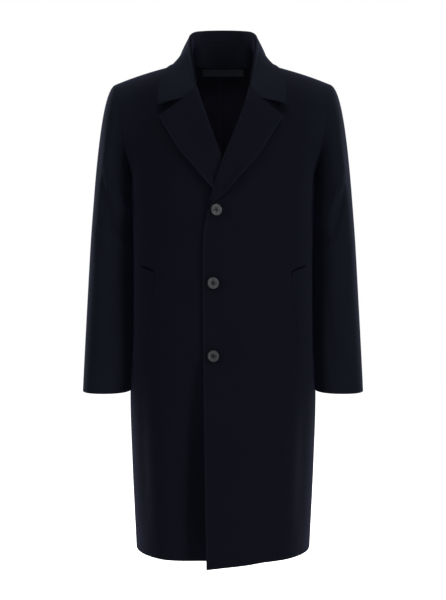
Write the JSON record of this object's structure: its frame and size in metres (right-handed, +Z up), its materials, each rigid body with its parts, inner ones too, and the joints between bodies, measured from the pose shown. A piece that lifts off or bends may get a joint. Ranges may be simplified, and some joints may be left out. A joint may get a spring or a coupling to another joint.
{
  "type": "overcoat with a notched collar",
  "caption": "Knee-length single-breasted wool overcoat with a notched collar, set-in sleeves, slanted welt pockets and a buttoned front, hollow in its worn form.",
  "frame": {"origin": "middle of the neck, level with the shoulders beside the collar, where the wearer carries the coat", "axes": "+X is the wearer's left, -Y the front and +Z up"},
  "size_m": [0.586, 0.3087, 1.1003],
  "materials": {
    "wool": "brushed dark navy coating cloth",
    "lining": "smooth twill lining with a slight sheen",
    "label": "plain woven tape",
    "horn": "satin grey horn look"
  },
  "bodies": {
    "root": {"front_left": "wool", "front_right": "wool", "lapel_left": "wool", "lapel_right": "wool", "back_left": "wool", "back_right": "wool", "sleeve_top_left": "wool", "sleeve_under_left": "wool", "sleeve_top_right": "wool", "sleeve_under_right": "wool", "collar_stand": "wool", "collar_fall": "wool", "welt_left": "wool", "welt_right": "wool", "back_lining": "lining", "neck_label": "label", "button_1": "horn", "button_2": "horn", "button_3": "horn"}
  },
  "joints": []
}
